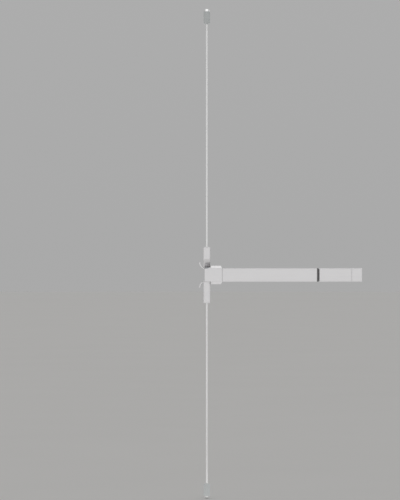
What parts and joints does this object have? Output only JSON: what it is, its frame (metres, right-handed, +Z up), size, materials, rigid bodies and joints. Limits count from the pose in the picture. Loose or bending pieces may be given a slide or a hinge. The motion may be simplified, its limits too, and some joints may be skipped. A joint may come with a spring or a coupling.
{
  "type": "panic exit bar",
  "caption": "Surface-mounted push-pad exit bar with vertical rods: pressing the pad draws a top and a bottom bolt back towards the centre case.",
  "frame": {"origin": "on the door's face, where the line of the vertical rods crosses the middle of the push bar's height", "axes": "+X along the bar from the rods towards the hinge side, +Y into the door, +Z up; the whole device stands on the -Y side of the door's face"},
  "size_m": [0.705, 0.064, 2.121],
  "materials": {
    "satin_stainless": "satin-brushed stainless sheet, grain along the bar",
    "silver_paint": "silver-grey painted steel, low sheen",
    "zinc_plated_steel": "bright zinc-plated pressed steel",
    "bright_steel": "drawn and polished steel bar",
    "spring_steel": "oiled spring wire",
    "black_plastic": "moulded dark grey plastic",
    "nylon": "natural moulded nylon"
  },
  "bodies": {
    "chassis": {"mechanism_rail": "zinc_plated_steel", "rail_filler_cover": "satin_stainless", "end_cap": "satin_stainless", "end_bracket": "zinc_plated_steel", "end_cap_screw": "bright_steel", "crank_bracket_1": "zinc_plated_steel", "crank_bracket_2": "zinc_plated_steel", "crank_pin_1": "bright_steel", "crank_pin_2": "bright_steel", "spring_anchor": "zinc_plated_steel", "return_spring": "spring_steel", "center_base_plate": "satin_stainless", "center_case_cover": "satin_stainless", "upper_lever_pin": "bright_steel", "lower_lever_pin": "bright_steel", "case_cover_screw_upper": "bright_steel", "case_cover_screw_lower": "bright_steel", "upper_rod_guide": "zinc_plated_steel", "lower_rod_guide": "zinc_plated_steel", "upper_rod_cover": "satin_stainless", "lower_rod_cover": "satin_stainless", "upper_rod_cover_screw": "bright_steel", "lower_rod_cover_screw": "bright_steel", "top_latch_base": "zinc_plated_steel", "top_latch_cover": "silver_paint", "top_bolt_spring": "spring_steel", "top_latch_screw": "bright_steel", "bottom_latch_base": "zinc_plated_steel", "bottom_latch_cover": "silver_paint", "bottom_bolt_spring": "spring_steel", "bottom_latch_screw": "bright_steel", "top_trigger_spring": "spring_steel"},
    "push_bar": {"push_bar": "satin_stainless", "push_bar_end_trim": "black_plastic", "push_bar_inner_trim": "black_plastic", "push_bracket_1": "zinc_plated_steel", "push_bracket_2": "zinc_plated_steel"},
    "crank_1": {"crank_1": "zinc_plated_steel", "link_pin_1": "bright_steel"},
    "crank_2": {"crank_2": "zinc_plated_steel", "link_pin_2": "bright_steel"},
    "roller_1": {"crank_roller_1": "nylon"},
    "roller_2": {"crank_roller_2": "nylon"},
    "link": {"actuator_link": "zinc_plated_steel", "center_slide": "zinc_plated_steel", "slide_rivet": "bright_steel", "slide_pin": "bright_steel", "spring_guide_pin": "bright_steel"},
    "upper_lever": {"upper_lift_lever": "zinc_plated_steel"},
    "lower_lever": {"lower_lift_lever": "zinc_plated_steel"},
    "upper_rod": {"upper_rod": "bright_steel", "upper_rod_head": "zinc_plated_steel", "upper_lock_nut": "bright_steel", "top_bolt": "bright_steel"},
    "lower_rod": {"lower_rod": "bright_steel", "lower_rod_head": "zinc_plated_steel", "lower_lock_nut": "bright_steel", "bottom_bolt": "bright_steel"},
    "trigger": {"top_trigger": "bright_steel"}
  },
  "joints": [
    {"name": "push_bar_slide", "type": "slide", "parent": "chassis", "child": "push_bar", "axis": [0, 1, 0], "range_m": [0, 0.014], "stiffness_N_per_m": 1500, "springref_m": -0.02},
    {"name": "crank_1_turn", "type": "hinge", "parent": "chassis", "child": "crank_1", "pos_m": [0.12, -0.01, 0], "axis": [0, 0, 1], "range_deg": [0, 26.1]},
    {"name": "crank_2_turn", "type": "hinge", "parent": "chassis", "child": "crank_2", "pos_m": [0.4, -0.01, 0], "axis": [0, 0, 1], "range_deg": [0, 26.1]},
    {"name": "roller_1_turn", "type": "hinge", "parent": "crank_1", "child": "roller_1", "pos_m": [0.14501, -0.04, 0], "axis": [0, 0, -1], "range_deg": [0, 150]},
    {"name": "roller_2_turn", "type": "hinge", "parent": "crank_2", "child": "roller_2", "pos_m": [0.42501, -0.04, 0], "axis": [0, 0, -1], "range_deg": [0, 150]},
    {"name": "link_slide", "type": "slide", "parent": "chassis", "child": "link", "axis": [1, 0, 0], "range_m": [0, 0.00725], "deforming": ["return_spring"]},
    {"name": "upper_lever_turn", "type": "hinge", "parent": "chassis", "child": "upper_lever", "pos_m": [0.03, -0.0087, 0.016], "axis": [0, -1, 0], "range_deg": [0, 25.4]},
    {"name": "lower_lever_turn", "type": "hinge", "parent": "chassis", "child": "lower_lever", "pos_m": [0.03, -0.0127, -0.016], "axis": [0, 1, 0], "range_deg": [0, 25.4]},
    {"name": "upper_rod_slide", "type": "slide", "parent": "chassis", "child": "upper_rod", "axis": [0, 0, -1], "range_m": [0, 0.0128], "deforming": ["top_bolt_spring"]},
    {"name": "lower_rod_slide", "type": "slide", "parent": "chassis", "child": "lower_rod", "axis": [0, 0, 1], "range_m": [0, 0.0128], "deforming": ["bottom_bolt_spring"]},
    {"name": "top_trigger_slide", "type": "slide", "parent": "chassis", "child": "trigger", "axis": [0, 0, -1], "range_m": [0, 0.006], "stiffness_N_per_m": 200, "springref_m": -0.01, "deforming": ["top_trigger_spring"]}
  ],
  "couplings": [
    {"joint": "crank_1_turn", "follows": "push_bar_slide", "rad_per_m": 32.41},
    {"joint": "crank_2_turn", "follows": "push_bar_slide", "rad_per_m": 32.41},
    {"joint": "roller_1_turn", "follows": "push_bar_slide", "rad_per_m": 184},
    {"joint": "roller_2_turn", "follows": "push_bar_slide", "rad_per_m": 184},
    {"joint": "link_slide", "follows": "push_bar_slide", "ratio": 0.5142},
    {"joint": "upper_lever_turn", "follows": "push_bar_slide", "rad_per_m": 31.61},
    {"joint": "lower_lever_turn", "follows": "push_bar_slide", "rad_per_m": 31.61},
    {"joint": "upper_rod_slide", "follows": "push_bar_slide", "ratio": 0.9093},
    {"joint": "lower_rod_slide", "follows": "push_bar_slide", "ratio": 0.9093}
  ]
}
